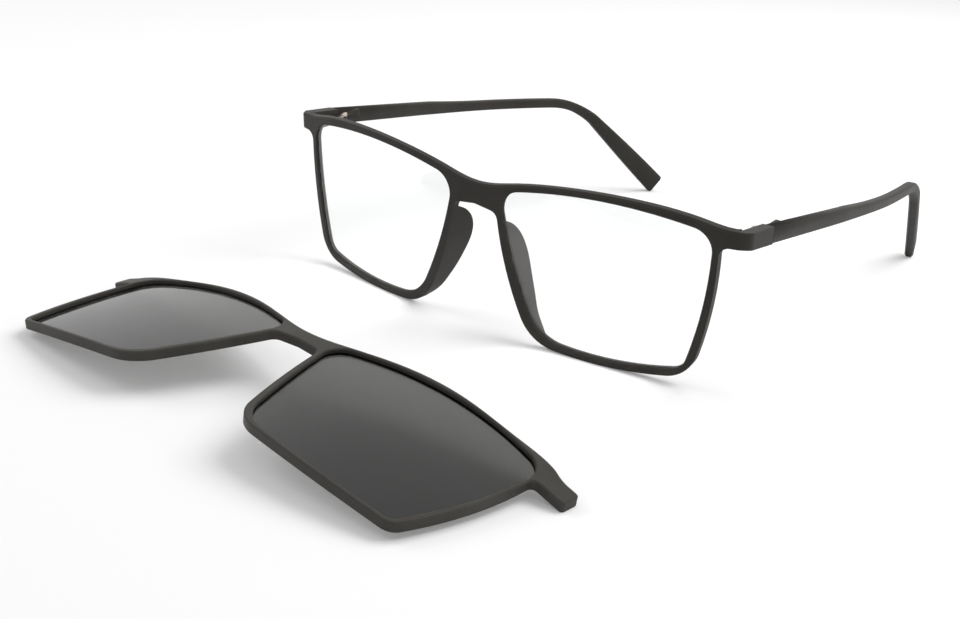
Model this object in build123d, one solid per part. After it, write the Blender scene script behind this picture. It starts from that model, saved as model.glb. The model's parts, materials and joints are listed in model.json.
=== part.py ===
"""A pair of eyeglasses with a magnetic sun clip that lies on the table ahead of them.

Millimetres, +Z up, the glasses face -Y, and right means the +X side. The origin is the middle
of the set's footprint on the table. The front is drawn upright, with x across, y to the back
and z up, and is then leaned. The clip is drawn seated on the front and then laid on the table.
"""

import os
from math import acos, asin, cos, degrees, radians, sin, sqrt, tan

from build123d import *

# Front, seen from ahead
lens_width = 53.5
lens_height = 37.9
bridge_gap = 16.3
lens_mid_height = 21.4
face_radius = 239.6
front_lean = 6.4
# Corners of the lens opening before rounding: across and up from its middle
opening_shares = {
    "inner_top": (-0.515, 0.434),
    "outer_top": (0.494, 0.454),
    "outer_bottom": (0.406, -0.462),
    "inner_bottom": (-0.290, -0.489),
}
# Shares of the lens height: how far each side bows out, and how each corner is rounded
opening_bow_shares = {"top": 0.087, "outer": 0.037, "bottom": 0.047, "inner": 0.043}
opening_round_shares = {"inner_top": 0.143, "outer_top": 0.148, "outer_bottom": 0.111, "inner_bottom": 0.310}
rim_inner = 2.45
rim_bottom = 1.65
rim_outer = 1.9
rim_corner_inner = 11.6
rim_corner_outer = 8.5
# Brow line: share of the half front, share of the lens height over the lens middle
brow_shares = ((0.0, 0.458), (0.154, 0.502), (0.37, 0.560), (0.61, 0.574), (0.85, 0.525), (0.955, 0.493))
bridge_height = 5.4
bridge_under_arch = 0.9
bridge_corner = 2.4
depth_at_nose = 1.9
depth_at_side = 2.45
face_bevel = 0.5
opening_bevel = 0.25

# End pieces, which turn back as short wings to the hinges
end_piece_width = 5.65
wing_thickness = 2.9
wing_length = 11.7
wing_low_front = 36.0
wing_low_end = 34.1
wing_top_end = 38.4
wing_corner_outer = 3.4
wing_corner_inner = 1.6
wing_root_round = 2.4

# Moulded nose pads: share of the pad height, share of the pad depth
pad_low = 2.9
pad_high = 30.6
pad_depth = 8.9
pad_crest_shares = ((0.09, 0.50), (0.19, 0.64), (0.30, 0.77), (0.44, 0.89), (0.65, 1.0), (0.81, 0.88), (0.905, 0.66))
pad_root = 1.2

# Clear lenses in their groove
clear_thickness = 0.85
clear_ahead = 0.45
groove_depth = 0.7
lens_clearance = 0.05

# Hinges: knuckles one above the other round a screw, at the split
split_gap = 0.2
hinge_inset = 1.65
knuckle_radius = 1.25
knuckle_height = 0.95
knuckle_clearance = 0.08
leaf_thickness = 0.95
leaf_height = 3.0
leaf_length = 6.4
leaf_start = 1.7
leaf_round = 0.4
screw_radius = 0.55
screw_clearance = 0.04
screw_head_radius = 1.0
screw_head_height = 0.45
screw_slot_width = 0.3
screw_slot_depth = 0.22

# Temples
temple_thickness = 2.7
temple_straight_end = 50.0
temple_bow_radius = 341.0
temple_bend = 127.0
temple_drop = 4.0
temple_height_bend = 2.7
tip_drop = 39.0
tip_inward = 15.7
tip_height = 5.6
tip_end_round = 1.8
bend_round = 20.0
temple_bevel = 0.5
bevelled_edge_least = 20.0
fold_right = 85.0
fold_left = 79.0

# Round magnets moulded into the end pieces and the clip's lugs
magnet_radius = 1.0
magnet_length = 1.3
magnet_clearance = 0.05
magnet_inset = 2.4
magnet_up = 38.0
magnet_behind_face = 1.1

# Sun clip, drawn seated on the front
seat_gap = 0.3
clip_radius = 292.0
clip_depth = 2.15
clip_opening_width = 58.7
clip_opening_height = 37.6
clip_opening_mid = 36.55
clip_opening_mid_height = 21.0
clip_opening_shares = {
    "inner_top": (-0.500, 0.412),
    "outer_top": (0.500, 0.481),
    "outer_bottom": (0.406, -0.482),
    "inner_bottom": (-0.296, -0.491),
}
clip_bow_shares = {"top": 0.120, "outer": 0.045, "bottom": 0.030, "inner": 0.017}
clip_round_shares = {"inner_top": 0.129, "outer_top": 0.171, "outer_bottom": 0.060, "inner_bottom": 0.258}
clip_rim_inner = 1.55
clip_rim_bottom = 1.2
clip_rim_outer = 1.4
clip_corner_inner = 9.5
clip_corner_outer = 3.6
# Brow line of the clip: share of its half width, share of its opening height over the middle
clip_brow_shares = ((0.0, 0.425), (0.134, 0.465), (0.322, 0.558), (0.537, 0.597), (0.76, 0.564), (0.905, 0.530), (0.965, 0.500))
clip_bridge_height = 4.2
clip_under_arch = 0.6
clip_bridge_corner = 2.2
lug_reach = 7.1
lug_length = 5.2
lug_turn = 4.0
lug_bend_round = 4.0
lug_low = 34.8
lug_corner = 0.9
lug_root_round = 1.3
clip_bevel = 0.3
sun_ahead = 1.15
sun_thickness = 0.7
sun_groove_depth = 0.55

# Where the clip lies: turned on the table, tipped off its seat, and its distance ahead
clip_turn = -4.9
clip_tip = 93.3
clip_ahead = 93.7

overrun = 8.0
tall = lens_height + 2 * overrun

half_lens = lens_width / 2
lens_mid = bridge_gap / 2 + half_lens
half_front = lens_mid + half_lens + rim_outer + end_piece_width
wrap = degrees(asin(lens_mid / face_radius))
clip_half_width = clip_opening_mid + clip_opening_width / 2 + clip_rim_outer + lug_reach
magnet_side = half_front - magnet_inset
opening_bow = {side: share * lens_height for side, share in opening_bow_shares.items()}
opening_round = {corner: share * lens_height for corner, share in opening_round_shares.items()}
clip_bow = {side: share * clip_opening_height for side, share in clip_bow_shares.items()}
clip_round = {corner: share * clip_opening_height for corner, share in clip_round_shares.items()}


def face_y(x, radius=face_radius, ahead=0.0):
    """How far back a curved face lies at x, where its middle is at y = -ahead."""
    return radius - sqrt(radius**2 - x**2) - ahead


wing_start = face_y(half_front)
wing_end = wing_start + wing_length
deep = wing_end + overrun
eye_plane = Plane(
    origin=(lens_mid, face_y(lens_mid), 0),
    x_dir=(cos(radians(wrap)), sin(radians(wrap)), 0),
    z_dir=(sin(radians(wrap)), -cos(radians(wrap)), 0),
)


def on_eye(x, z):
    """The point of the eye plane that is seen at x and z on the curved face."""
    across = (x - lens_mid) * cos(radians(wrap)) + (face_y(x) - face_y(lens_mid)) * sin(radians(wrap))
    return Vector(across, z)


def bowed(start, end, bow):
    """A side that runs clockwise about the eye from start to end and bows outwards."""
    chord = end - start
    outwards = Vector(-chord.Y, chord.X).normalized()
    return ThreePointArc(start, (start + end) / 2 + outwards * bow, end)


def crossing(a, b, c, d):
    """Where the line through a and b meets the line through c and d."""
    first, second = b - a, d - c
    turn = first.X * second.Y - first.Y * second.X
    along = ((c.X - a.X) * second.Y - (c.Y - a.Y) * second.X) / turn
    return a + first * along


def moved_side(start, end, width):
    """The side from start to end, moved outwards by width."""
    chord = end - start
    outwards = Vector(-chord.Y, chord.X).normalized() * width
    return start + outwards, end + outwards


def rounded(face, corners):
    """face with its corner nearest each point rounded by that radius."""
    for point, radius in corners:
        corner = face.vertices().sort_by_distance(Vector(point))[0]
        face = fillet(corner, radius)
    return face


def eye_corners(shares, width, height, middle, middle_height):
    """Corners of an opening on the eye plane, from its shares."""
    return {
        name: on_eye(middle + across * width, middle_height + up * height)
        for name, (across, up) in shares.items()
    }


def grown_corners(corners, inner, outer, bottom, top):
    """The corners once each side has moved out by its own width."""
    it, ot = corners["inner_top"], corners["outer_top"]
    ob, ib = corners["outer_bottom"], corners["inner_bottom"]
    sides = {
        "top": moved_side(it, ot, top),
        "outer": moved_side(ot, ob, outer),
        "bottom": moved_side(ob, ib, bottom),
        "inner": moved_side(ib, it, inner),
    }
    return {
        "inner_top": crossing(*sides["inner"], *sides["top"]),
        "outer_top": crossing(*sides["top"], *sides["outer"]),
        "outer_bottom": crossing(*sides["outer"], *sides["bottom"]),
        "inner_bottom": crossing(*sides["bottom"], *sides["inner"]),
    }


def opening_face(corners, bow, radii, grow=0.0):
    """The rounded outline of an opening, or of the lens that reaches grow beyond it."""
    c = grown_corners(corners, grow, grow, grow, grow)
    sides = [
        bowed(c["inner_top"], c["outer_top"], bow["top"]),
        bowed(c["outer_top"], c["outer_bottom"], bow["outer"]),
        bowed(c["outer_bottom"], c["inner_bottom"], bow["bottom"]),
        bowed(c["inner_bottom"], c["inner_top"], bow["inner"]),
    ]
    return rounded(make_face(sides), [(c[name], radii[name] + grow) for name in radii])


def through(face):
    """The eye-plane face run through the whole depth."""
    return extrude(eye_plane * face, amount=deep, both=True)


def between(near, far, reach, near_radius=face_radius, far_radius=None):
    """The curved slab between two depths behind the face, as wide as reach, right half only."""
    far_radius = far_radius or near_radius
    a = [(x, face_y(x, near_radius, -near)) for x in (0, reach / 2, reach)]
    b = [(x, face_y(x, far_radius, -far)) for x in (reach, reach / 2, 0)]
    plan = make_face([ThreePointArc(*a), Line(a[2], b[0]), ThreePointArc(*b), Line(b[2], a[0])])
    return Pos(0, 0, -overrun) * extrude(plan, amount=tall + overrun)


def both_sides(half):
    """The right half with its mirror image, as one solid."""
    return half + mirror(half, about=Plane.YZ)


def frame_outline(rim, brow, under, arch, end, low, rounds):
    """The closed outline of half a frame, past the middle: brow, end piece, rim and bridge."""
    top_end = Vector(end, brow[-1].Y)
    low_end = Vector(end, low)
    armpit = crossing(rim["outer_top"], rim["outer_bottom"], low_end, Vector(0, low))
    middle = brow[0].X
    past_middle = middle - overrun
    nose_top = crossing(rim["inner_bottom"], rim["inner_top"], Vector(middle, under - arch), Vector(0, under - arch))
    outline = [
        Line(Vector(past_middle, brow[0].Y), brow[0]),
        Spline(*brow, tangents=[(1, 0), (1, 0)]),
        Line(brow[-1], top_end),
        Line(top_end, low_end),
        Line(low_end, armpit),
        bowed(armpit, rim["outer_bottom"], rim["outer_bow"]),
        bowed(rim["outer_bottom"], rim["inner_bottom"], rim["bottom_bow"]),
        bowed(rim["inner_bottom"], nose_top, rim["inner_bow"]),
        Line(nose_top, Vector(middle, under)),
        Line(Vector(middle, under), Vector(past_middle, under)),
        Line(Vector(past_middle, under), Vector(past_middle, brow[0].Y)),
    ]
    corners = [
        (armpit, rounds["root"]),
        (rim["outer_bottom"], rounds["outer"]),
        (rim["inner_bottom"], rounds["inner"]),
        (nose_top, rounds["bridge"]),
    ]
    if "end" in rounds:
        corners += [(top_end, rounds["end"]), (low_end, rounds["end"])]
    return rounded(make_face(outline), corners)


def face_edges(solid, radius, hole=False):
    """The edges round the curved face of this radius, or round the hole in it."""
    curved = [f for f in solid.faces().filter_by(GeomType.CYLINDER) if abs(f.radius - radius) < lens_clearance]
    front = max(curved, key=lambda f: f.area)
    wire = front.inner_wires()[0] if hole else front.outer_wire()
    return [e for e in wire.edges() if e.center().X > lens_clearance]


opening = eye_corners(opening_shares, lens_width, lens_height, lens_mid, lens_mid_height)
rim = grown_corners(opening, rim_inner, rim_outer, rim_bottom, 0)
rim.update(outer_bow=opening_bow["outer"], bottom_bow=opening_bow["bottom"], inner_bow=opening_bow["inner"])
brow = [on_eye(x * half_front, lens_mid_height + z * lens_height) for x, z in brow_shares]
front_outline = frame_outline(
    rim,
    brow,
    brow[0].Y - bridge_height,
    bridge_under_arch,
    brow[-1].X + overrun,
    wing_low_front,
    {"root": wing_root_round, "outer": rim_corner_outer, "inner": rim_corner_inner, "bridge": bridge_corner},
)
opening_hole = through(opening_face(opening, opening_bow, opening_round))

rim_side = lens_mid + half_lens + rim_outer
rear_rise = face_y(rim_side) + depth_at_side - depth_at_nose
rear_radius = (rim_side**2 + rear_rise**2) / (2 * rear_rise)
wing_inside = half_front - wing_thickness


def front_plan():
    """The right half of the front from above: curved face, wing, and the deeper curved back."""
    face_points = [(x, face_y(x)) for x in (0, half_front / 2, half_front)]
    back_points = [(x, face_y(x, rear_radius, -depth_at_nose)) for x in (wing_inside, wing_inside / 2, 0)]
    end_outside, end_inside = (half_front, wing_end), (wing_inside, wing_end)
    plan = make_face(
        [
            ThreePointArc(*face_points),
            Line(face_points[2], end_outside),
            Line(end_outside, end_inside),
            Line(end_inside, back_points[0]),
            ThreePointArc(*back_points),
            Line(back_points[2], face_points[0]),
        ]
    )
    plan = rounded(plan, [(face_points[2], wing_corner_outer), (back_points[0], wing_corner_inner)])
    return Pos(0, 0, -overrun) * extrude(plan, amount=tall + overrun)


def wing_heights(y):
    """Bottom and top of the wing at y, which slopes down from the end piece to the hinge."""
    along = (y - wing_start) / (wing_end - wing_start)
    low = wing_low_front + (wing_low_end - wing_low_front) * along
    top = brow[-1].Y + (wing_top_end - brow[-1].Y) * along
    return low, top


def side_block(points, near, far):
    """A straight-sided outline of y and z, run across from near to far."""
    return Pos(near, 0, 0) * extrude(Plane.YZ * make_face(Polyline(*points, close=True)), amount=far - near)


def pad_half():
    """The leaf-shaped nose pad that stands behind the right rim's nose side."""
    height = pad_high - pad_low
    crest = [(pad_depth * y, pad_low + height * z) for z, y in pad_crest_shares]
    low, high = (pad_root, pad_low), (pad_root, pad_high)
    leaf = make_face([Spline(low, *crest, high), Line(high, low)])
    blade = extrude(Plane.YZ * leaf, amount=lens_mid)
    return (through(front_outline) - opening_hole) & blade


def magnet_pocket(radius, length, ahead):
    """A round pocket or magnet that lies along y, its face that far behind the curved face."""
    middle = face_y(magnet_side) + ahead + length / 2
    return Pos(magnet_side, middle, magnet_up) * Rot(90, 0, 0) * Cylinder(radius, length)


def front_blank():
    """The right half of the front with its wing, before the grooves and pockets."""
    plan = front_plan()
    far = wing_end + overrun
    low, top = wing_heights(wing_end)
    far_low, far_top = wing_heights(far)
    brow_end = brow_shares[-1][0] * half_front
    over = side_block([(wing_start, brow[-1].Y), (far, far_top), (far, tall), (wing_start, tall)], brow_end, tall * 2)
    wing = side_block(
        [(wing_start, wing_low_front), (wing_end, low), (wing_end, top), (wing_start, brow[-1].Y)],
        wing_inside - wing_corner_inner,
        half_front + overrun,
    )
    half = (plan & through(front_outline)) - over + (plan & wing)
    half = half - opening_hole
    brow_edges = [e for e in face_edges(half, face_radius) if e.center().Z > wing_low_front and e.length > wing_length]
    half = chamfer(brow_edges, face_bevel)
    return chamfer(face_edges(half, face_radius, hole=True), opening_bevel)


def on_front(solid):
    """A piece drawn on the upright front, leaned with it."""
    return Rot(front_lean, 0, 0) * solid


def mirrored(solid):
    """The same piece on the left side."""
    return mirror(solid, about=Plane.YZ)


# Hinge axis, drawn on the upright front
axis_x = wing_inside - hinge_inset
axis_y = wing_end + split_gap / 2
axis_z = (wing_low_end + wing_top_end) / 2
barrel_height = 3 * knuckle_height + 2 * knuckle_clearance
barrel_low = axis_z - barrel_height / 2
temple_inside = half_front - temple_thickness


def post(radius, height, low):
    """A round post on the hinge axis that stands on the height low."""
    return Pos(axis_x, axis_y, low + height / 2) * Cylinder(radius, height)


def block(low, high):
    """A square block between two corners."""
    size = [b - a for a, b in zip(low, high)]
    middle = [(a + b) / 2 for a, b in zip(low, high)]
    return Pos(*middle) * Box(*size)


def hinge_leaf(knuckles, seat, back):
    """A leaf on the face at x = seat with its knuckles; back is 1 for the temple's leaf, -1 for the front's."""
    near, far = axis_y + back * leaf_start, axis_y + back * (leaf_start + leaf_length)
    leaf = block(
        (seat - leaf_thickness, min(near, far), axis_z - leaf_height / 2),
        (seat, max(near, far), axis_z + leaf_height / 2),
    )
    corners = [e for e in leaf.edges().filter_by(Axis.X) if abs(e.center().Y - far) < split_gap]
    leaf = fillet(corners, leaf_round)
    for place in knuckles:
        low = barrel_low + place * (knuckle_height + knuckle_clearance)
        web_end = axis_y + back * split_gap / 2
        web = block((axis_x, min(web_end, near), low), (seat, max(web_end, near), low + knuckle_height))
        leaf += post(knuckle_radius, knuckle_height, low) + web
    return leaf - post(screw_radius + screw_clearance, barrel_height + overrun, barrel_low - overrun / 2)


def hinge_screw():
    """The hinge's pivot screw, put in from the top, with a slot in its round head."""
    top = barrel_low + barrel_height
    shank = post(screw_radius, barrel_height, barrel_low)
    head = post(screw_head_radius, screw_head_height, top)
    floor = top + screw_head_height - screw_slot_depth
    slot = block(
        (axis_x - screw_head_radius, axis_y - screw_slot_width / 2, floor),
        (axis_x + screw_head_radius, axis_y + screw_slot_width / 2, floor + screw_head_height),
    )
    return shank + head - slot


def lens_between(ahead, thickness, radius, face, start=0.0):
    """A slab of even thickness behind a curved face, cut to a lens outline."""
    near, far = start + ahead, start + ahead + thickness
    return between(near, far, half_front, radius - ahead, radius - ahead - thickness) & through(face)


def make_front():
    """The one-piece front with both rims, bridge, nose pads and end pieces."""
    half = front_blank() + pad_half()
    groove_face = opening_face(opening, opening_bow, opening_round, groove_depth)
    groove = lens_between(clear_ahead - lens_clearance, clear_thickness + 2 * lens_clearance, face_radius, groove_face)
    pocket = magnet_pocket(
        magnet_radius + magnet_clearance,
        magnet_length + 2 * magnet_clearance,
        magnet_behind_face - magnet_clearance,
    )
    return on_front(both_sides(half - groove - pocket))


def make_clear_lens():
    face = opening_face(opening, opening_bow, opening_round, groove_depth - lens_clearance)
    return on_front(lens_between(clear_ahead, clear_thickness, face_radius, face))


# Temple, drawn where it stands when open
square_corner_cut = sqrt(2) - 1
hinge_middle = Vector(0, wing_end, axis_z).rotate(Axis.X, front_lean)
bend_length = (temple_bend - hinge_middle.Y) / cos(radians(temple_drop))


def slanted(start, angle, along, up=0.0):
    """The point along a line that drops by angle towards the back, and up square to it."""
    turn = radians(angle)
    return Vector(
        start.X + along * cos(turn) + up * sin(turn),
        start.Y - along * sin(turn) + up * cos(turn),
    )


def temple_side_face(table):
    """The temple from the side: a tapering arm, the bend over the ear, and a tip down to the table."""
    start = Vector(hinge_middle.Y, hinge_middle.Z)
    bend = slanted(start, temple_drop, bend_length)
    corner_lift = tip_end_round * square_corner_cut - tip_height / 2 * cos(radians(tip_drop))
    tip = slanted(bend, tip_drop, (bend.Y + corner_lift - table) / sin(radians(tip_drop)))
    height = wing_top_end - wing_low_end
    grow = (height - temple_height_bend) * overrun / bend_length
    half_turn = radians(tip_drop - temple_drop) / 2
    reach = temple_height_bend / 2 / cos(half_turn)
    mid_drop = (temple_drop + tip_drop) / 2
    top = slanted(bend, mid_drop, 0, reach)
    low = slanted(bend, mid_drop, 0, -reach)
    tip_top = slanted(tip, tip_drop, 0, tip_height / 2)
    tip_low = slanted(tip, tip_drop, 0, -tip_height / 2)
    front_top = slanted(start, temple_drop, -overrun, (height + grow) / 2)
    front_low = slanted(start, temple_drop, -overrun, -(height + grow) / 2)
    face = make_face(Polyline(front_top, top, tip_top, tip_low, low, front_low, close=True))
    return rounded(
        face,
        [
            (top, bend_round + temple_height_bend),
            (low, bend_round),
            (tip_top, tip_end_round),
            (tip_low, tip_end_round),
        ],
    )


def temple_plan_line(offset):
    """Points of the temple's line from above, moved outwards by offset: start, bow and tip."""
    middle = half_front - temple_thickness / 2
    centre = Vector(middle - temple_bow_radius, temple_straight_end)
    end_angle = asin((temple_bend - temple_straight_end) / temple_bow_radius)
    radius = temple_bow_radius + offset
    start = Vector(middle + offset, hinge_middle.Y - overrun)
    straight_end = Vector(middle + offset, temple_straight_end)
    bow_middle = centre + Vector(cos(end_angle / 2), sin(end_angle / 2)) * radius
    bow_end = centre + Vector(cos(end_angle), sin(end_angle)) * radius
    inwards = radians(tip_inward)
    bend = centre + Vector(cos(end_angle), sin(end_angle)) * temple_bow_radius
    tip = bend + Vector(-sin(inwards), cos(inwards)) * tall + Vector(cos(inwards), sin(inwards)) * offset
    return start, straight_end, bow_middle, bow_end, tip


def temple_plan_face():
    """The temple from above, bowed towards the head."""
    a = temple_plan_line(temple_thickness / 2)
    b = temple_plan_line(-temple_thickness / 2)
    return make_face(
        [
            Line(a[0], a[1]),
            ThreePointArc(a[1], a[2], a[3]),
            Line(a[3], a[4]),
            Line(a[4], b[4]),
            Line(b[4], b[3]),
            ThreePointArc(b[3], b[2], b[1]),
            Line(b[1], b[0]),
            Line(b[0], a[0]),
        ]
    )


def make_temple(table):
    side = extrude(Plane.YZ * temple_side_face(table), amount=half_front + overrun)
    plan = Pos(0, 0, -overrun) * extrude(temple_plan_face(), amount=tall + overrun)
    ahead = block((0, -overrun, -overrun), (half_front + overrun, wing_end + split_gap, tall))
    arm = (side & plan) - on_front(ahead)
    return chamfer([e for e in arm.edges() if e.length > bevelled_edge_least], temple_bevel)


# Sun clip, drawn seated on the upright front
clip_opening = eye_corners(
    clip_opening_shares, clip_opening_width, clip_opening_height, clip_opening_mid, clip_opening_mid_height
)
clip_brow = [
    on_eye(x * clip_half_width, clip_opening_mid_height + z * clip_opening_height) for x, z in clip_brow_shares
]
clip_face_start = -(seat_gap + clip_depth)


def clip_plan():
    """The right half of the clip from above: curved, with a lug that turns down at its end."""
    outer = clip_radius + clip_depth
    lug_start = clip_half_width - lug_length
    slope = asin(lug_start / outer)
    down = slope + radians(lug_turn)
    face_points = [(x, face_y(x, outer, -clip_face_start)) for x in (0, lug_start / 2, lug_start)]
    bend = Vector(*face_points[2])
    end = bend + Vector(cos(down), sin(down)) * (lug_length + overrun)
    rear_end = end + Vector(-sin(down), cos(down)) * clip_depth
    middle_turn = (slope + down) / 2
    rear_bend = bend + Vector(-sin(middle_turn), cos(middle_turn)) * (clip_depth / cos(radians(lug_turn) / 2))
    rear_middle = (lug_start / 2, face_y(lug_start / 2, clip_radius, seat_gap))
    plan = make_face(
        [
            ThreePointArc(*face_points),
            Line(bend, end),
            Line(end, rear_end),
            Line(rear_end, rear_bend),
            ThreePointArc(rear_bend, rear_middle, (0, -seat_gap)),
            Line((0, -seat_gap), face_points[0]),
        ]
    )
    return Pos(0, 0, -overrun) * extrude(rounded(plan, [(bend, lug_bend_round)]), amount=tall + overrun)


def make_clip_frame():
    clip_rim = grown_corners(clip_opening, clip_rim_inner, clip_rim_outer, clip_rim_bottom, 0)
    clip_rim.update(outer_bow=clip_bow["outer"], bottom_bow=clip_bow["bottom"], inner_bow=clip_bow["inner"])
    outline = frame_outline(
        clip_rim,
        clip_brow,
        clip_brow[0].Y - clip_bridge_height,
        clip_under_arch,
        on_eye(clip_half_width, 0).X,
        lug_low,
        {
            "root": lug_root_round,
            "outer": clip_corner_outer,
            "inner": clip_corner_inner,
            "bridge": clip_bridge_corner,
            "end": lug_corner,
        },
    )
    half = clip_plan() & through(outline)
    half -= through(opening_face(clip_opening, clip_bow, clip_round))
    outer_edges = face_edges(half, clip_radius + clip_depth)
    half = chamfer([e for e in outer_edges if e.geom_type != GeomType.LINE], clip_bevel)
    half = chamfer(face_edges(half, clip_radius + clip_depth, hole=True), clip_bevel)
    half -= sun_slab(sun_groove_depth, lens_clearance)
    half -= clip_magnet_solid(magnet_clearance)
    return both_sides(half)


def sun_slab(grow, margin):
    """The sun lens, or with a margin the groove that it sits in."""
    face = opening_face(clip_opening, clip_bow, clip_round, grow)
    near = clip_face_start + sun_ahead - margin
    far = clip_face_start + sun_ahead + sun_thickness + margin
    slab = between(near, far, tall * 2, clip_radius - seat_gap - near, clip_radius - seat_gap - far)
    return slab & through(face)


def clip_magnet_solid(margin):
    """A magnet in the lug, or with a margin its pocket."""
    ahead = clip_face_start + (clip_depth - magnet_length) / 2 + magnet_length / 2
    middle = face_y(magnet_side, clip_radius) + ahead
    turned = Pos(magnet_side, middle, magnet_up) * Rot(90, 0, 0)
    return turned * Cylinder(magnet_radius + margin, magnet_length + 2 * margin)


def build_glasses():
    """The glasses' pieces where they stand on the table, and how far they were let down to it."""
    front = make_front()
    table = front.bounding_box().min.Z
    halves = {
        "clear_lens": make_clear_lens(),
        "frame_magnet": on_front(magnet_pocket(magnet_radius, magnet_length, magnet_behind_face)),
        "hinge_front": on_front(hinge_leaf((0, 2), wing_inside, -1)),
        "hinge_temple": on_front(hinge_leaf((1,), temple_inside, 1)),
        "hinge_screw": on_front(hinge_screw()),
        "temple": make_temple(table),
    }
    nodes = {"front_frame": front}
    for name, piece in halves.items():
        nodes[name + "_right"] = piece
        nodes[name + "_left"] = mirrored(piece)
    return {name: Pos(0, 0, -table) * piece for name, piece in nodes.items()}, table


def build_clip():
    """The clip's pieces, seated on the upright front."""
    sun = sun_slab(sun_groove_depth - lens_clearance, 0)
    magnet = clip_magnet_solid(0)
    return {
        "clip_frame": make_clip_frame(),
        "sun_lens_right": sun,
        "sun_lens_left": mirrored(sun),
        "clip_magnet_right": magnet,
        "clip_magnet_left": mirrored(magnet),
    }


def laying_turn():
    """The one turn that lays the seated clip down: its rotation, axis and angle."""
    turn, tip = radians(clip_turn) / 2, -radians(clip_tip) / 2
    angle = 2 * acos(cos(turn) * cos(tip))
    axis = Vector(cos(turn) * sin(tip), sin(turn) * sin(tip), sin(turn) * cos(tip)) / sin(angle / 2)
    return Rot(0, 0, clip_turn) * Rot(-clip_tip, 0, 0), axis, angle


def lay_clip(clip, table):
    """The clip's pieces on the table, with the pivot and axis that would swing them to their seat."""
    turned, axis, angle = laying_turn()
    seated = {name: Pos(0, 0, -table) * Rot(front_lean, 0, 0) * piece for name, piece in clip.items()}
    pieces = {name: turned * piece for name, piece in seated.items()}
    lift = -pieces["clip_frame"].bounding_box().min.Z
    aside = (clip_ahead * axis.Y - lift * axis.Z) / axis.X
    move = Vector(aside, -clip_ahead, lift)
    pivot = (move + axis.cross(move) / tan(angle / 2)) / 2
    return {name: Pos(*move) * piece for name, piece in pieces.items()}, pivot, axis * -1, degrees(angle)


def build():
    """Every node in its place, with the joints' pivots and axes."""
    nodes, table = build_glasses()
    clip, clip_pivot, clip_axis, clip_angle = lay_clip(build_clip(), table)
    nodes.update(clip)
    boxes = [piece.bounding_box() for piece in nodes.values()]
    low_x, high_x = min(b.min.X for b in boxes), max(b.max.X for b in boxes)
    low_y, high_y = min(b.min.Y for b in boxes), max(b.max.Y for b in boxes)
    home = Vector(-(low_x + high_x) / 2, -(low_y + high_y) / 2, 0)
    nodes = {name: Pos(*home) * piece for name, piece in nodes.items()}
    hinge = Vector(axis_x, axis_y, axis_z).rotate(Axis.X, front_lean) + home - Vector(0, 0, table)
    up = Vector(0, 0, 1).rotate(Axis.X, front_lean)
    joints = {
        "temple_right_fold": (hinge, up, fold_right),
        "temple_left_fold": (Vector(-hinge.X, hinge.Y, hinge.Z) + Vector(2 * home.X), up * -1, fold_left),
        "clip_swing": (clip_pivot + home, clip_axis, clip_angle),
    }
    return nodes, joints, home, table


if __name__ == "__main__":
    nodes, joints, home, table = build()
    os.makedirs("parts", exist_ok=True)
    for name, piece in nodes.items():
        export_step(piece, f"parts/{name}.step")
    print("home", tuple(home), "table", table)
    for name, (pivot, axis, limit) in joints.items():
        print(name, "at", tuple(pivot), "axis", tuple(axis), "limit", limit)
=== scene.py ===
"""Looks for a pair of soft-touch black eyeglasses and the magnetic sun clip lying ahead of them.

Everything is in metres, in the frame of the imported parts: +Z up, the glasses face -Y, and right
means the +X side.
"""
import json

import bmesh
import bpy
from mathutils import Matrix, Vector


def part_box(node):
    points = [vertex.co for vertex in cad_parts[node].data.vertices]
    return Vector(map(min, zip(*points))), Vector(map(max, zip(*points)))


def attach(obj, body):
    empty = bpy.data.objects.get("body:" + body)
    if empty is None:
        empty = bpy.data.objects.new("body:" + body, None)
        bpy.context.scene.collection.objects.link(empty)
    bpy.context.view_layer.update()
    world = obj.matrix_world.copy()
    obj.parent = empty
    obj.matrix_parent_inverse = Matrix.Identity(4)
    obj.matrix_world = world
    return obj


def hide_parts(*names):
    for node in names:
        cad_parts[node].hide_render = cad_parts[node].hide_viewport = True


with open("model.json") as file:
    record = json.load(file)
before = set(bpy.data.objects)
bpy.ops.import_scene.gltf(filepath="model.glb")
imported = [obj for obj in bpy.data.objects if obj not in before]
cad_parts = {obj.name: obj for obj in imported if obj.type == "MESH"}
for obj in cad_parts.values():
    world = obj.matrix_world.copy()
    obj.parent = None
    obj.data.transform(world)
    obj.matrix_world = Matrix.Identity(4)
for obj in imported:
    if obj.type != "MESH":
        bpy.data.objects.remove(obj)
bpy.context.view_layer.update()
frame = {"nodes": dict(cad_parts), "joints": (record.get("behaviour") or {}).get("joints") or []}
nodes = frame["nodes"]
mm = 0.001

# Camera: where it stands, which way it looks, its lens, and how near and how far it sees
camera_place = Vector((203.769, -305.281, 129.908)) * mm
camera_right = Vector((0.78376, 0.61593, 0.07967))
camera_up = Vector((-0.27368, 0.22736, 0.93456))
camera_lens = 53.722
camera_sensor = 36.0
camera_near = 0.01
camera_far = 20.0

# Table and studio light
floor_half = 3.0
floor_tone = 0.80
floor_glow = 0.16
sky_light = 0.50
sky_seen = 1.0
key_power = 6.6
key_size = 0.70
key_place = Vector((0.30, 0.45, 0.72))
side_power = 1.6
side_size = 0.5
side_place = Vector((-0.75, -0.25, 0.55))
lamp_target = Vector((0.0, 0.0, 0.0))

# Shapes: corners closer than this are one corner, and edges that turn more than this are sharp
weld_reach = 0.002 * mm
sharp_turn = 0.6

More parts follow.
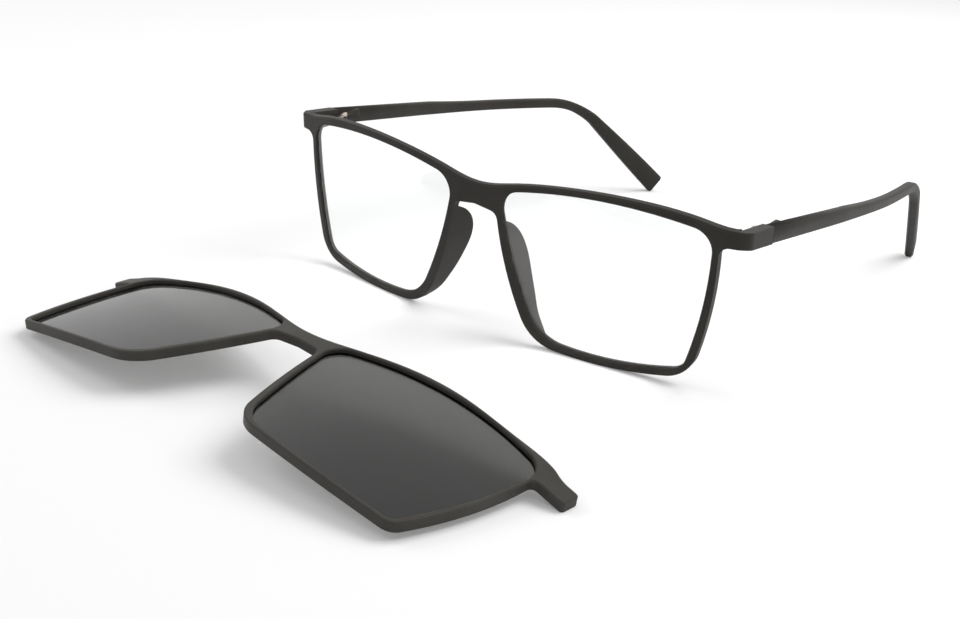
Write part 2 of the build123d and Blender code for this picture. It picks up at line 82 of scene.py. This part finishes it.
# Temples behind the cut. Each station says, in millimetres, how far back it is, how far from the
# middle, how high, and how tall the arm is there.
temple_cut = 26.65 * mm
temple_stations = [
    (41.65, 66.95, 34.15, 3.05),
    (56.65, 65.50, 33.30, 2.90),
    (72.45, 63.30, 32.50, 2.85),
    (80.65, 61.85, 31.90, 2.85),
    (86.55, 60.70, 30.25, 3.00),
    (92.55, 59.40, 26.95, 3.40),
    (96.55, 58.35, 23.40, 4.00),
    (104.55, 56.10, 15.70, 5.20),
    (112.55, 53.85, 7.80, 6.10),
    (118.00, 52.30, 2.30, 6.40),
]
station_parts = 4
tip_edge_round = 0.40 * mm
tip_edge_parts = 3

# How the two arms differ, in millimetres, growing from the first of these places to the second:
# how far the tip turns in, how far the stations move back, and how far the arm sags halfway
toe_in_start = 36.65
toe_in_end = 116.65
toe_in = {"right": 0.3, "left": 11.5}
set_back = {"right": 5.0, "left": 1.3}
sag = {"right": 1.0, "left": 0.0}

# The hinges are drawn flatter along their own pins, to stay below the temple's top edge
hinge_squeeze = 0.62
hinge_drop = 0.35 * mm

# Moulded plastic: tones, grain, and how far a painted highlight pales a turned edge
frame_dark = (0.0210, 0.0182, 0.0150)
frame_light = (0.0290, 0.0255, 0.0215)
frame_rough = 0.52
frame_edge = 0.35
clip_dark = (0.0420, 0.0385, 0.0340)
clip_light = (0.0540, 0.0500, 0.0445)
clip_rough = 0.55
clip_edge = 0.25
leaf_edge = 0.5
# The pale colour of the painted highlight along turned edges
edge_highlight_tint = (0.085, 0.080, 0.072)
edge_reach = 0.25 * mm
cloud_scale = 90.0
grain_scale = 5200.0
grain_height = 0.12
streak_scale = 900.0
plastic_bend = 1.48
plastic_shine = 0.26

# Metal: the hinge knuckles are bare this far from the screw, and their leaves are painted
rose_gold = (0.78, 0.60, 0.50)
steel = (0.72, 0.71, 0.69)
nickel = (0.62, 0.61, 0.58)
screw_rough = 0.20
magnet_rough = 0.30
knuckle_rough = 0.24
leaf_rough = 0.50
bare_reach = 3.0 * mm
paint_reach = 3.4 * mm
polish_lines = (600.0, 600.0, 9000.0)

# Lenses: tint at the low edge, tint at the brow (paler on the sun lens, a painted reflection),
# tint of the light they let through to the table, polish, how fine their haze is, and how far
# they bend light
clear_lens = {
    "low": (0.97, 0.985, 0.98),
    "brow_tint_and_painted_reflection": (0.97, 0.985, 0.98),
    "shade": (0.98, 0.98, 0.98),
    "rough": 0.01,
    "haze_scale": 60.0,
    "bend": 1.5,
}
sun_lens = {
    "low": (0.062, 0.064, 0.060),
    "brow_tint_and_painted_reflection": (0.092, 0.094, 0.088),
    "shade": (0.11, 0.12, 0.11),
    "rough": 0.03,
    "haze_scale": 40.0,
    "bend": 1.40,
}


def new_material(name):
    """An empty node material, and its tree to add nodes to."""
    material = bpy.data.materials.new(name)
    material.use_nodes = True
    material.node_tree.nodes.clear()
    return material, material.node_tree


def add(tree, kind, **values):
    """A node of this kind, with its properties and its inputs by name."""
    node = tree.nodes.new(kind)
    for key, value in values.items():
        if hasattr(node, key):
            setattr(node, key, value)
        else:
            node.inputs[key.replace("_", " ")].default_value = value
    return node


def rgba(colour):
    """The colour at full strength, as a colour socket takes it."""
    return (*colour, 1.0)


def dress(material, names):
    """Gives the material to these nodes in place of their packed one."""
    for name in names:
        mesh = nodes[name].data
        mesh.materials.clear()
        mesh.materials.append(material)


def merged_copy(name):
    """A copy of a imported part's shape, with its loose triangles joined up."""
    shape = bmesh.new()
    shape.from_mesh(nodes[name].data)
    bmesh.ops.remove_doubles(shape, verts=shape.verts[:], dist=weld_reach)
    return shape


def finished_piece(name, shape, finish, body, stands_for):
    """An object in its finish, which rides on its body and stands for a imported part."""
    for face in shape.faces:
        face.smooth = True
    mesh = bpy.data.meshes.new(name)
    shape.to_mesh(mesh)
    shape.free()
    mesh.set_sharp_from_angle(angle=sharp_turn)
    mesh.materials.append(finish)
    piece = bpy.data.objects.new(name, mesh)
    bpy.context.scene.collection.objects.link(piece)
    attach(piece, body)
    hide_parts(stands_for)


def smooth_run(points, parts):
    """Points on a smooth curve through these ones."""
    run = []
    for index in range(len(points) - 1):
        before = points[max(index - 1, 0)]
        start, end = points[index], points[index + 1]
        after = points[min(index + 2, len(points) - 1)]
        for part in range(parts):
            t = part / parts
            leave = (end - before) * 0.5
            arrive = (after - start) * 0.5
            run.append(
                start * (2 * t**3 - 3 * t**2 + 1)
                + leave * (t**3 - 2 * t**2 + t)
                + end * (3 * t**2 - 2 * t**3)
                + arrive * (t**3 - t**2)
            )
    return run + [points[-1]]


def cut_behind_hinge(shape):
    """Cuts the arm off and closes it. Gives the closing face, and its middle with its height."""
    everything = shape.verts[:] + shape.edges[:] + shape.faces[:]
    cut = bmesh.ops.bisect_plane(
        shape, geom=everything, plane_co=(0, temple_cut, 0), plane_no=(0, 1, 0), clear_outer=True
    )
    rim = [piece for piece in cut["geom_cut"] if isinstance(piece, bmesh.types.BMEdge)]
    cap = bmesh.ops.contextual_create(shape, geom=rim)["faces"][0]
    corners = [vertex.co for vertex in cap.verts]
    low = Vector([min(corner[axis] for corner in corners) for axis in range(3)])
    high = Vector([max(corner[axis] for corner in corners) for axis in range(3)])
    return cap, Vector((*((low + high) / 2), high.z - low.z))


def arm_run(side, start):
    """Points down the middle of the arm from its cut to its tip, each with the arm's height."""
    middle = (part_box("temple_right")[1][0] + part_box("temple_left")[0][0]) / 2
    outward = 1 if side == "right" else -1
    line = [start]
    for back, half, up, tall in temple_stations:
        turned = max(back - toe_in_start, 0.0) / (toe_in_end - toe_in_start)
        half -= toe_in[side] * turned**2
        back += set_back[side] * turned * (2.0 - turned)
        up -= sag[side] * 4.0 * turned * max(1.0 - turned, 0.0)
        line.append(Vector((middle / mm + outward * half, back, up, tall)) * mm)
    return smooth_run(line, station_parts)


def section_frame(place, ahead, height):
    """The matrix that stands a section of this height across the arm's line."""
    across = ahead.cross(Vector((0.0, 0.0, 1.0))).normalized()
    lift = across.cross(ahead).normalized()
    turn = Matrix((across, ahead.normalized(), lift * height)).transposed().to_4x4()
    return Matrix.Translation(place) @ turn


def arm_sections(run):
    """Where the arm's section stands at each point of its run."""
    sections = []
    for index, point in enumerate(run):
        ahead = run[min(index + 1, len(run) - 1)].xyz - run[max(index - 1, 0)].xyz
        sections.append(section_frame(point.xyz, ahead, point.w / run[0].w))
    return sections


def drawn_out(shape, cap, sections):
    """Draws the closing face out from one section to the next, and gives the face at the tip."""
    for before, after in zip(sections, sections[1:]):
        grown = bmesh.ops.extrude_face_region(shape, geom=[cap])["geom"]
        bmesh.ops.delete(shape, geom=[cap], context="FACES_ONLY")
        corners = [piece for piece in grown if isinstance(piece, bmesh.types.BMVert)]
        cap = [piece for piece in grown if isinstance(piece, bmesh.types.BMFace)][0]
        bmesh.ops.transform(shape, matrix=after @ before.inverted(), verts=corners)
    return cap


def bent_temple(side, finish):
    """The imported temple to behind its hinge, drawn on over a soft bend to a flared tip."""
    name = "temple_" + side
    shape = merged_copy(name)
    cap, start = cut_behind_hinge(shape)
    cap = drawn_out(shape, cap, arm_sections(arm_run(side, start)))
    bmesh.ops.bevel(
        shape,
        geom=cap.edges[:],
        offset=tip_edge_round,
        segments=tip_edge_parts,
        profile=0.5,
        affect="EDGES",
        material=-1,
    )
    bmesh.ops.recalc_face_normals(shape, faces=shape.faces[:])
    finished_piece(name + "_bent", shape, finish, name, name)


def joint_row(name):
    """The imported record's row for this joint."""
    return next(row for row in frame["joints"] if row["name"] == name)


def low_hinge(name, side, body, finish):
    """A packed hinge part, drawn flatter along the hinge's pin."""
    joint = joint_row("temple_" + side + "_fold")
    pin = Vector(joint["axis"]).normalized()
    pin = pin if pin.z > 0 else -pin
    pivot = Vector(joint["pos_m"])
    shape = merged_copy(name)
    flatter = Matrix.Scale(hinge_squeeze, 4, pin)
    there = Matrix.Translation(pivot - pin * hinge_drop)
    back = Matrix.Translation(-pivot)
    bmesh.ops.transform(shape, matrix=there @ flatter @ back, verts=shape.verts[:])
    finished_piece(name + "_low", shape, finish, body, name)


def moulded_skin():
    """Moulded, rubber-painted plastic: fine grain, cloudy tone, and a painted highlight that
    pales it where edges turn.
    """
    group = bpy.data.node_groups.new("moulded_skin", "ShaderNodeTree")
    sockets = {
        "Dark": ("NodeSocketColor", rgba(frame_dark)),
        "Light": ("NodeSocketColor", rgba(frame_light)),
        "Edge": ("NodeSocketColor", rgba(edge_highlight_tint)),
        "Edge Amount": ("NodeSocketFloat", leaf_edge),
        "Grain Scale": ("NodeSocketFloat", grain_scale),
        "Grain Height": ("NodeSocketFloat", grain_height),
        "Rough": ("NodeSocketFloat", frame_rough),
    }
    for name, (kind, value) in sockets.items():
        socket = group.interface.new_socket(name, in_out="INPUT", socket_type=kind)
        socket.default_value = value
    group.interface.new_socket("Color", in_out="OUTPUT", socket_type="NodeSocketColor")
    group.interface.new_socket("Roughness", in_out="OUTPUT", socket_type="NodeSocketFloat")
    group.interface.new_socket("Normal", in_out="OUTPUT", socket_type="NodeSocketVector")
    given = add(group, "NodeGroupInput")
    result = add(group, "NodeGroupOutput")
    place = add(group, "ShaderNodeTexCoord")
    cloud = add(group, "ShaderNodeTexNoise", Scale=cloud_scale, Detail=3.0, Roughness=0.55)
    grain = add(group, "ShaderNodeTexNoise", Detail=2.0, Roughness=0.6)
    streak = add(group, "ShaderNodeTexNoise", Scale=streak_scale, Detail=4.0, Roughness=0.7)
    for pattern in (cloud, grain, streak):
        group.links.new(place.outputs["Object"], pattern.inputs["Vector"])
    group.links.new(given.outputs["Grain Scale"], grain.inputs["Scale"])
    tone = add(group, "ShaderNodeMapRange", From_Min=0.35, From_Max=0.65)
    group.links.new(cloud.outputs["Fac"], tone.inputs["Value"])
    body = add(group, "ShaderNodeMix", data_type="RGBA")
    group.links.new(tone.outputs["Result"], body.inputs["Factor"])
    group.links.new(given.outputs["Dark"], body.inputs["A"])
    group.links.new(given.outputs["Light"], body.inputs["B"])
    # Where a softened normal leaves the true one, an edge turns, and a painted highlight pales
    # the colour there
    soft = add(group, "ShaderNodeBevel", samples=6, Radius=edge_reach)
    solid = add(group, "ShaderNodeNewGeometry")
    turn = add(group, "ShaderNodeVectorMath", operation="DOT_PRODUCT")
    group.links.new(soft.outputs["Normal"], turn.inputs[0])
    group.links.new(solid.outputs["Normal"], turn.inputs[1])
    edge = add(group, "ShaderNodeMapRange", From_Min=0.99, From_Max=0.80)
    group.links.new(turn.outputs["Value"], edge.inputs["Value"])
    edge_highlight_and_polish_wear = add(group, "ShaderNodeMath", operation="MULTIPLY")
    group.links.new(edge.outputs["Result"], edge_highlight_and_polish_wear.inputs[0])
    group.links.new(given.outputs["Edge Amount"], edge_highlight_and_polish_wear.inputs[1])
    # Painted highlight: the turned edges mixed toward the pale edge colour
    tint = add(group, "ShaderNodeMix", data_type="RGBA")
    group.links.new(edge_highlight_and_polish_wear.outputs["Value"], tint.inputs["Factor"])
    group.links.new(body.outputs["Result"], tint.inputs["A"])
    group.links.new(given.outputs["Edge"], tint.inputs["B"])
    group.links.new(tint.outputs["Result"], result.inputs["Color"])
    sheen = add(group, "ShaderNodeMapRange", To_Min=-0.05, To_Max=0.06)
    group.links.new(streak.outputs["Fac"], sheen.inputs["Value"])
    rough = add(group, "ShaderNodeMath", operation="ADD")
    group.links.new(sheen.outputs["Result"], rough.inputs[0])
    group.links.new(given.outputs["Rough"], rough.inputs[1])
    group.links.new(rough.outputs["Value"], result.inputs["Roughness"])
    bump = add(group, "ShaderNodeBump", Distance=0.02 * mm)
    group.links.new(given.outputs["Grain Height"], bump.inputs["Strength"])
    group.links.new(grain.outputs["Fac"], bump.inputs["Height"])
    group.links.new(soft.outputs["Normal"], bump.inputs["Normal"])
    group.links.new(bump.outputs["Normal"], result.inputs["Normal"])
    return group


def moulded_plastic(name, skin, dark, light, rough, edge_amount):
    """Plastic with the moulded skin in its own tones."""
    material, tree = new_material(name)
    surface = add(tree, "ShaderNodeGroup")
    surface.node_tree = skin
    surface.inputs["Dark"].default_value = rgba(dark)
    surface.inputs["Light"].default_value = rgba(light)
    surface.inputs["Rough"].default_value = rough
    surface.inputs["Edge Amount"].default_value = edge_amount
    shader = add(
        tree, "ShaderNodeBsdfPrincipled", IOR=plastic_bend, Specular_IOR_Level=plastic_shine
    )
    output = add(tree, "ShaderNodeOutputMaterial")
    tree.links.new(surface.outputs["Color"], shader.inputs["Base Color"])
    tree.links.new(surface.outputs["Roughness"], shader.inputs["Roughness"])
    tree.links.new(surface.outputs["Normal"], shader.inputs["Normal"])
    tree.links.new(shader.outputs["BSDF"], output.inputs["Surface"])
    return material


def tinted_lens(name, box, low, brow_tint_and_painted_reflection, shade, rough, haze_scale, bend):
    """Lens plastic that light passes through, tinted at the low edge of its box and going over to
    the brow colour, which paints in a reflection where it is paler.
    """
    material, tree = new_material(name)
    place = add(tree, "ShaderNodeTexCoord")
    haze = add(tree, "ShaderNodeTexNoise", Scale=haze_scale, Detail=2.0)
    tree.links.new(place.outputs["Object"], haze.inputs["Vector"])
    smooth = add(tree, "ShaderNodeMapRange", To_Min=rough, To_Max=rough * 1.6)
    tree.links.new(haze.outputs["Fac"], smooth.inputs["Value"])
    axes = add(tree, "ShaderNodeSeparateXYZ")
    tree.links.new(place.outputs["Object"], axes.inputs["Vector"])
    # Painted reflection: towards the brow the colour goes over to the paler brow colour
    painted_reflection_ramp = add(tree, "ShaderNodeMapRange", interpolation_type="SMOOTHSTEP")
    painted_reflection_ramp.inputs["From Min"].default_value = box[0][1]
    painted_reflection_ramp.inputs["From Max"].default_value = box[1][1]
    tree.links.new(axes.outputs["Y"], painted_reflection_ramp.inputs["Value"])
    colour = add(tree, "ShaderNodeMix", data_type="RGBA")
    colour.inputs["A"].default_value = rgba(low)
    colour.inputs["B"].default_value = rgba(brow_tint_and_painted_reflection)
    tree.links.new(painted_reflection_ramp.outputs["Result"], colour.inputs["Factor"])
    shader = add(tree, "ShaderNodeBsdfPrincipled", IOR=bend, Transmission_Weight=1.0)
    tree.links.new(colour.outputs["Result"], shader.inputs["Base Color"])
    tree.links.new(smooth.outputs["Result"], shader.inputs["Roughness"])
    passing = add(tree, "ShaderNodeBsdfTransparent", Color=rgba(shade))
    ray = add(tree, "ShaderNodeLightPath")
    mix = add(tree, "ShaderNodeMixShader")
    output = add(tree, "ShaderNodeOutputMaterial")
    tree.links.new(ray.outputs["Is Shadow Ray"], mix.inputs["Fac"])
    tree.links.new(shader.outputs["BSDF"], mix.inputs[1])
    tree.links.new(passing.outputs["BSDF"], mix.inputs[2])
    tree.links.new(mix.outputs["Shader"], output.inputs["Surface"])
    return material


def turned_metal(name, colour, rough):
    """Metal with the fine lines of its polishing."""
    material, tree = new_material(name)
    place = add(tree, "ShaderNodeTexCoord")
    stretch = add(tree, "ShaderNodeMapping", Scale=polish_lines)
    lines = add(tree, "ShaderNodeTexNoise", Scale=1.0, Detail=3.0)
    tree.links.new(place.outputs["Object"], stretch.inputs["Vector"])
    tree.links.new(stretch.outputs["Vector"], lines.inputs["Vector"])
    edge_highlight_and_polish_wear = add(tree, "ShaderNodeMapRange", To_Min=rough * 0.8, To_Max=rough * 1.4)
    tree.links.new(lines.outputs["Fac"], edge_highlight_and_polish_wear.inputs["Value"])
    tone = add(tree, "ShaderNodeMix", data_type="RGBA")
    tone.inputs["A"].default_value = rgba(colour)
    tone.inputs["B"].default_value = rgba([value * 0.86 for value in colour])
    tree.links.new(lines.outputs["Fac"], tone.inputs["Factor"])
    bump = add(tree, "ShaderNodeBump", Strength=0.15, Distance=0.01 * mm)
    tree.links.new(lines.outputs["Fac"], bump.inputs["Height"])
    shader = add(tree, "ShaderNodeBsdfPrincipled", Metallic=1.0)
    output = add(tree, "ShaderNodeOutputMaterial")
    tree.links.new(tone.outputs["Result"], shader.inputs["Base Color"])
    tree.links.new(edge_highlight_and_polish_wear.outputs["Result"], shader.inputs["Roughness"])
    tree.links.new(bump.outputs["Normal"], shader.inputs["Normal"])
    tree.links.new(shader.outputs["BSDF"], output.inputs["Surface"])
    return material


def painted_hinge(name, skin):
    """Painted leaves whose knuckles are rubbed to bare metal around the screw.

    The bare place is the right screw's, and the left one's is its mirror image about x 0.
    """
    low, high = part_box("hinge_screw_right")
    material, tree = new_material(name)
    place = add(tree, "ShaderNodeTexCoord")
    axes = add(tree, "ShaderNodeSeparateXYZ")
    tree.links.new(place.outputs["Object"], axes.inputs["Vector"])
    either_side = add(tree, "ShaderNodeMath", operation="ABSOLUTE")
    tree.links.new(axes.outputs["X"], either_side.inputs[0])
    level = add(tree, "ShaderNodeCombineXYZ")
    tree.links.new(either_side.outputs["Value"], level.inputs["X"])
    tree.links.new(axes.outputs["Y"], level.inputs["Y"])
    away = add(tree, "ShaderNodeVectorMath", operation="DISTANCE")
    tree.links.new(level.outputs["Vector"], away.inputs[0])
    away.inputs[1].default_value = ((low[0] + high[0]) / 2, (low[1] + high[1]) / 2, 0.0)
    bare = add(tree, "ShaderNodeMapRange", From_Min=paint_reach, From_Max=bare_reach)
    tree.links.new(away.outputs["Value"], bare.inputs["Value"])
    paint = add(tree, "ShaderNodeGroup")
    paint.node_tree = skin
    tone = add(tree, "ShaderNodeMix", data_type="RGBA")
    tone.inputs["B"].default_value = rgba(rose_gold)
    tree.links.new(bare.outputs["Result"], tone.inputs["Factor"])
    tree.links.new(paint.outputs["Color"], tone.inputs["A"])
    smooth = add(tree, "ShaderNodeMapRange", To_Min=leaf_rough, To_Max=knuckle_rough)
    tree.links.new(bare.outputs["Result"], smooth.inputs["Value"])
    shader = add(
        tree, "ShaderNodeBsdfPrincipled", IOR=plastic_bend, Specular_IOR_Level=plastic_shine
    )
    output = add(tree, "ShaderNodeOutputMaterial")
    tree.links.new(tone.outputs["Result"], shader.inputs["Base Color"])
    tree.links.new(bare.outputs["Result"], shader.inputs["Metallic"])
    tree.links.new(smooth.outputs["Result"], shader.inputs["Roughness"])
    tree.links.new(paint.outputs["Normal"], shader.inputs["Normal"])
    tree.links.new(shader.outputs["BSDF"], output.inputs["Surface"])
    return material


def seen_rays(tree):
    """1 for the rays that see a backdrop: straight, mirrored or through a lens."""
    ray = add(tree, "ShaderNodeLightPath")
    seen = ray.outputs["Is Camera Ray"]
    for name in ("Is Glossy Ray", "Is Transmission Ray"):
        either = add(tree, "ShaderNodeMath", operation="MAXIMUM")
        tree.links.new(seen, either.inputs[0])
        tree.links.new(ray.outputs[name], either.inputs[1])
        seen = either.outputs["Value"]
    return seen


def set_table():
    """The white table that takes the soft shadows."""
    shape = bmesh.new()
    bmesh.ops.create_grid(shape, x_segments=1, y_segments=1, size=floor_half)
    mesh = bpy.data.meshes.new("table_top")
    shape.to_mesh(mesh)
    shape.free()
    table = bpy.data.objects.new("table_top", mesh)
    bpy.context.scene.collection.objects.link(table)
    material, tree = new_material("white_table")
    paint = add(tree, "ShaderNodeBsdfDiffuse", Color=rgba([floor_tone] * 3))
    glow = add(tree, "ShaderNodeEmission")
    level = add(tree, "ShaderNodeMath", operation="MULTIPLY")
    level.inputs[1].default_value = floor_glow
    both = add(tree, "ShaderNodeAddShader")
    output = add(tree, "ShaderNodeOutputMaterial")
    tree.links.new(seen_rays(tree), level.inputs[0])
    tree.links.new(level.outputs["Value"], glow.inputs["Strength"])
    tree.links.new(paint.outputs["BSDF"], both.inputs[0])
    tree.links.new(glow.outputs["Emission"], both.inputs[1])
    tree.links.new(both.outputs["Shader"], output.inputs["Surface"])
    mesh.materials.append(material)


def set_sky():
    """A plain white surround that is seen at full white and lights at a plain level."""
    world = bpy.data.worlds.new("white_surround")
    world.use_nodes = True
    tree = world.node_tree
    tree.nodes.clear()
    strength = add(tree, "ShaderNodeMapRange", To_Min=sky_light, To_Max=sky_seen)
    background = add(tree, "ShaderNodeBackground", Color=(1.0, 1.0, 1.0, 1.0))
    output = add(tree, "ShaderNodeOutputWorld")
    tree.links.new(seen_rays(tree), strength.inputs["Value"])
    tree.links.new(strength.outputs["Result"], background.inputs["Strength"])
    tree.links.new(background.outputs["Background"], output.inputs["Surface"])
    bpy.context.scene.world = world


def set_lamp(name, power, size, place):
    """A soft square lamp that faces the lamps' target."""
    lamp = bpy.data.lights.new(name, "AREA")
    lamp.energy = power
    lamp.size = size
    holder = bpy.data.objects.new(name, lamp)
    holder.location = place
    holder.rotation_euler = (lamp_target - place).to_track_quat("-Z", "Y").to_euler()
    holder.visible_glossy = False
    bpy.context.scene.collection.objects.link(holder)


def set_camera():
    """The camera at the photograph's place."""
    lens = bpy.data.cameras.new("view")
    lens.lens = camera_lens
    lens.sensor_width = camera_sensor
    lens.sensor_fit = "HORIZONTAL"
    lens.clip_start = camera_near
    lens.clip_end = camera_far
    holder = bpy.data.objects.new("view", lens)
    back = camera_right.cross(camera_up)
    turn = Matrix((camera_right, camera_up, back)).transposed().to_4x4()
    holder.matrix_world = Matrix.Translation(camera_place) @ turn
    bpy.context.scene.collection.objects.link(holder)
    bpy.context.scene.camera = holder


def finish_glasses(skin):
    """The front and its clear lenses dressed, and the temples and the hinges drawn anew."""
    plastic = moulded_plastic(
        "frame_plastic_look", skin, frame_dark, frame_light, frame_rough, frame_edge
    )
    dress(plastic, ["front_frame"])
    clear = tinted_lens("clear_lens_look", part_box("clear_lens_right"), **clear_lens)
    dress(clear, ["clear_lens_right", "clear_lens_left"])
    leaf = painted_hinge("hinge_leaf_look", skin)
    screw = turned_metal("hinge_screw_look", steel, screw_rough)
    for side in ("right", "left"):
        bent_temple(side, plastic)
    for side in ("right", "left"):
        low_hinge("hinge_front_" + side, side, "glasses", leaf)
        low_hinge("hinge_temple_" + side, side, "temple_" + side, leaf)
        low_hinge("hinge_screw_" + side, side, "glasses", screw)


def finish_clip(skin):
    """The clip's frame and its sun lenses dressed."""
    plastic = moulded_plastic(
        "clip_plastic_look", skin, clip_dark, clip_light, clip_rough, clip_edge
    )
    dress(plastic, ["clip_frame"])
    sun = tinted_lens("sun_lens_look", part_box("sun_lens_right"), **sun_lens)
    dress(sun, ["sun_lens_right", "sun_lens_left"])


def finish_magnets():
    """The magnets of the glasses and of the clip dressed."""
    magnet = turned_metal("magnet_look", nickel, magnet_rough)
    for side in ("right", "left"):
        dress(magnet, ["frame_magnet_" + side, "clip_magnet_" + side])


bpy.context.scene.view_settings.view_transform = "Standard"
set_table()
set_sky()
set_lamp("key_lamp", key_power, key_size, key_place)
set_lamp("side_lamp", side_power, side_size, side_place)
set_camera()
skin = moulded_skin()
finish_glasses(skin)
finish_clip(skin)
finish_magnets()
